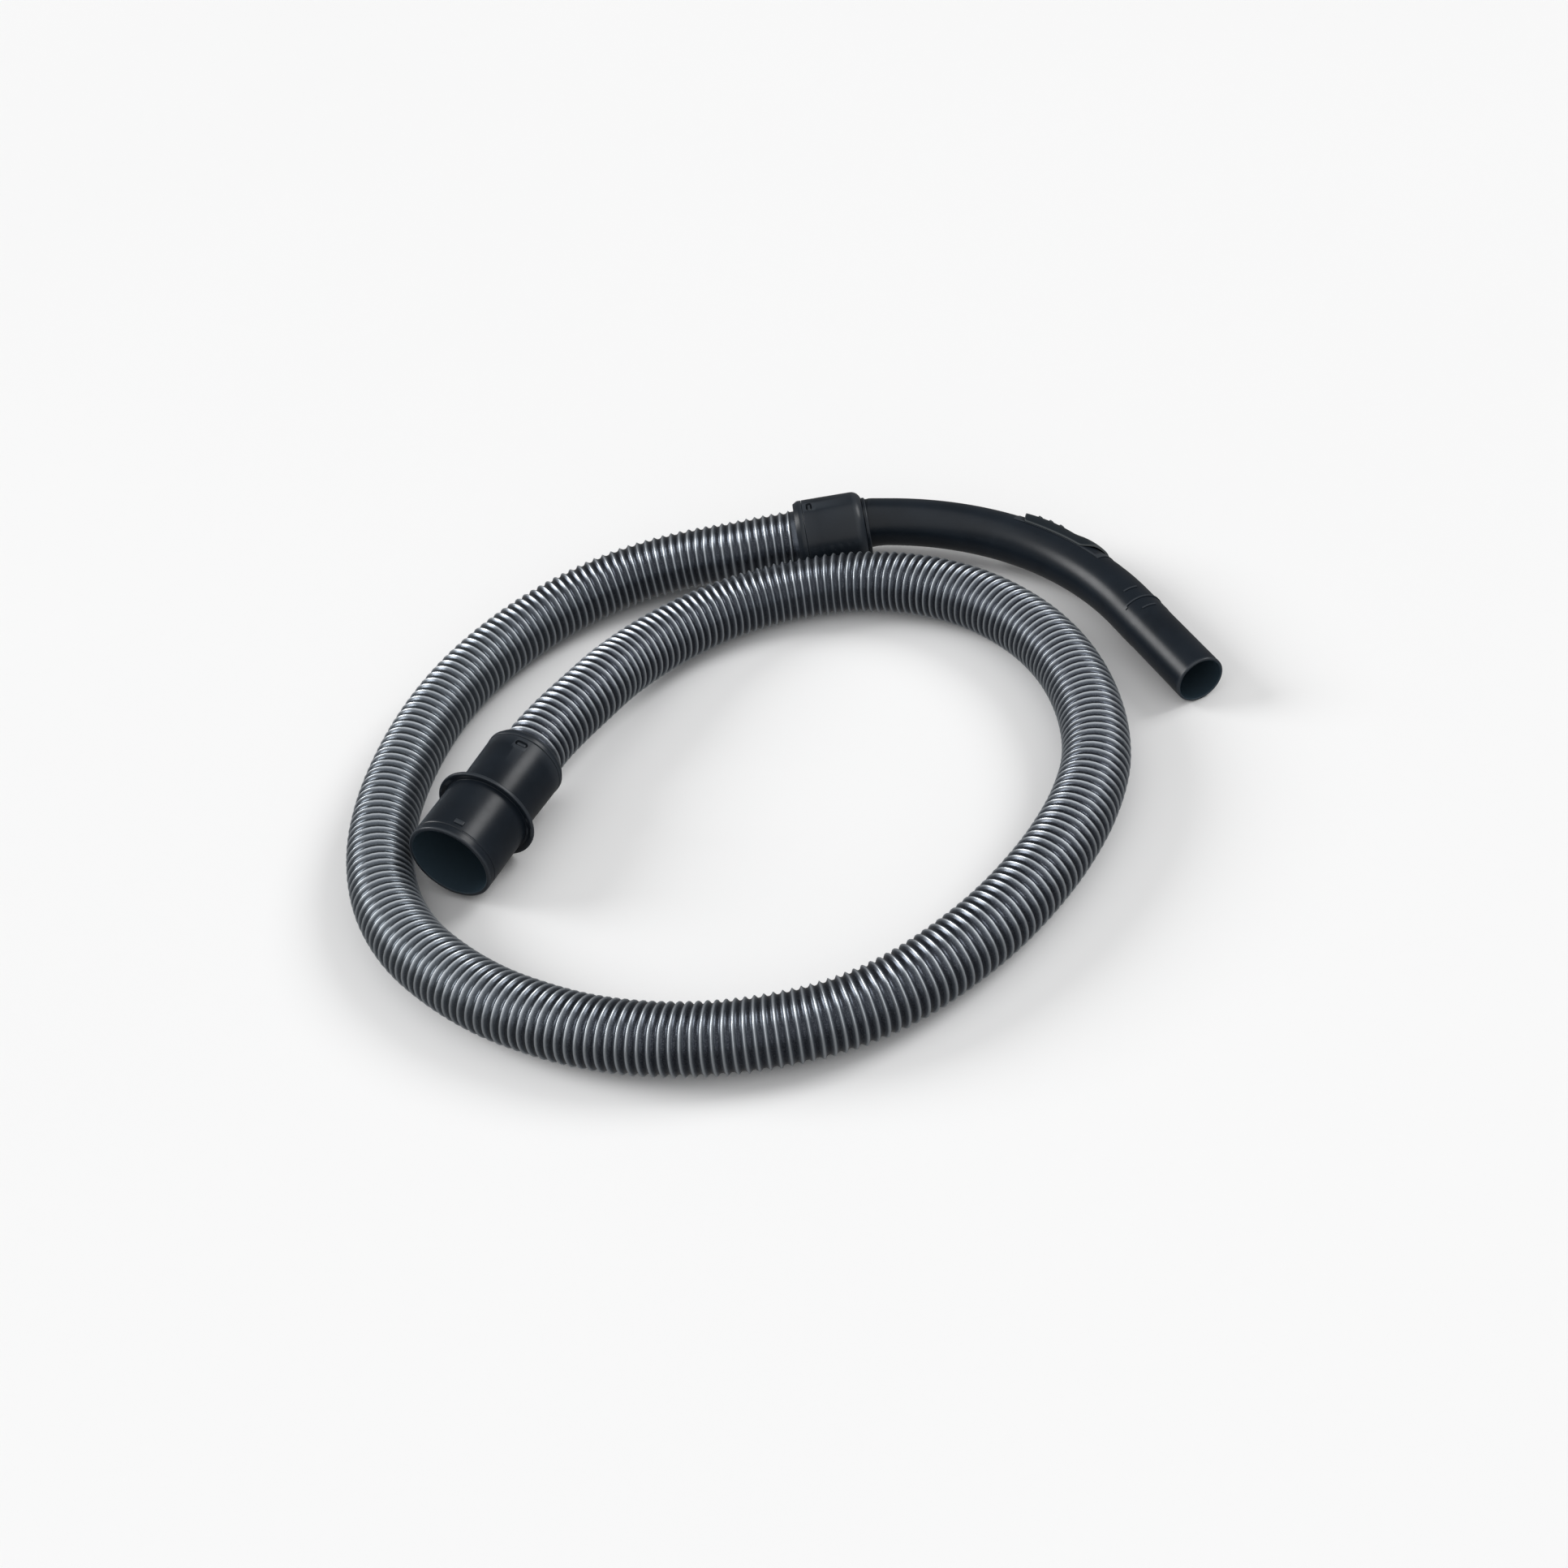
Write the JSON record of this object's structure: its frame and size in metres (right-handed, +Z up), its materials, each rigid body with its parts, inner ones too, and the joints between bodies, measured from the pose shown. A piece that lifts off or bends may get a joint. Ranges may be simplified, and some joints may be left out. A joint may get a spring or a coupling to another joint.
{
  "type": "vacuum cleaner hose",
  "caption": "Ribbed vacuum cleaner suction hose laid in a loop, with a bent swivel hand grip with air slider and a flanged swivel spigot that plugs into the machine.",
  "frame": {"origin": "centre of the rigid parts' box (grip, slider, caps, nuts, seals and connector, without the hose), on the floor", "axes": "+Z up from the floor, +X to the side that the grip's tube reaches to, -Y towards the open side of the hose loop, where the viewer stands"},
  "size_m": [0.5368, 0.4741, 0.0637],
  "materials": {
    "hose_plastic": "metallic grey, slightly glossy crests",
    "black_plastic": "satin, fine moulded grain",
    "nut_plastic": "smooth",
    "seal_rubber": "matt"
  },
  "bodies": {
    "hose": {"hose": "hose_plastic", "grip_nut": "nut_plastic", "grip_seal": "seal_rubber", "machine_nut": "nut_plastic", "machine_seal": "seal_rubber"},
    "grip": {"grip_tube": "black_plastic", "grip_cap": "black_plastic"},
    "slider": {"vent_slider": "black_plastic"},
    "connector": {"machine_spigot": "black_plastic", "machine_cap": "black_plastic"}
  },
  "joints": [
    {"name": "grip_swivel", "type": "hinge", "parent": "hose", "child": "grip", "pos_m": [0.03497, 0.12371, 0.0254], "axis": [0.9986, -0.0523, 0], "continuous": true},
    {"name": "slider_travel", "type": "hinge", "parent": "grip", "child": "slider", "pos_m": [0.01188, -0.07, 0.0162], "axis": [0.0025, 0.0471, -0.9989], "range_deg": [0, 3.36]},
    {"name": "connector_swivel", "type": "hinge", "parent": "hose", "child": "connector", "pos_m": [-0.18707, -0.07411, 0.0318], "axis": [-0.5299, -0.848, 0], "continuous": true}
  ]
}
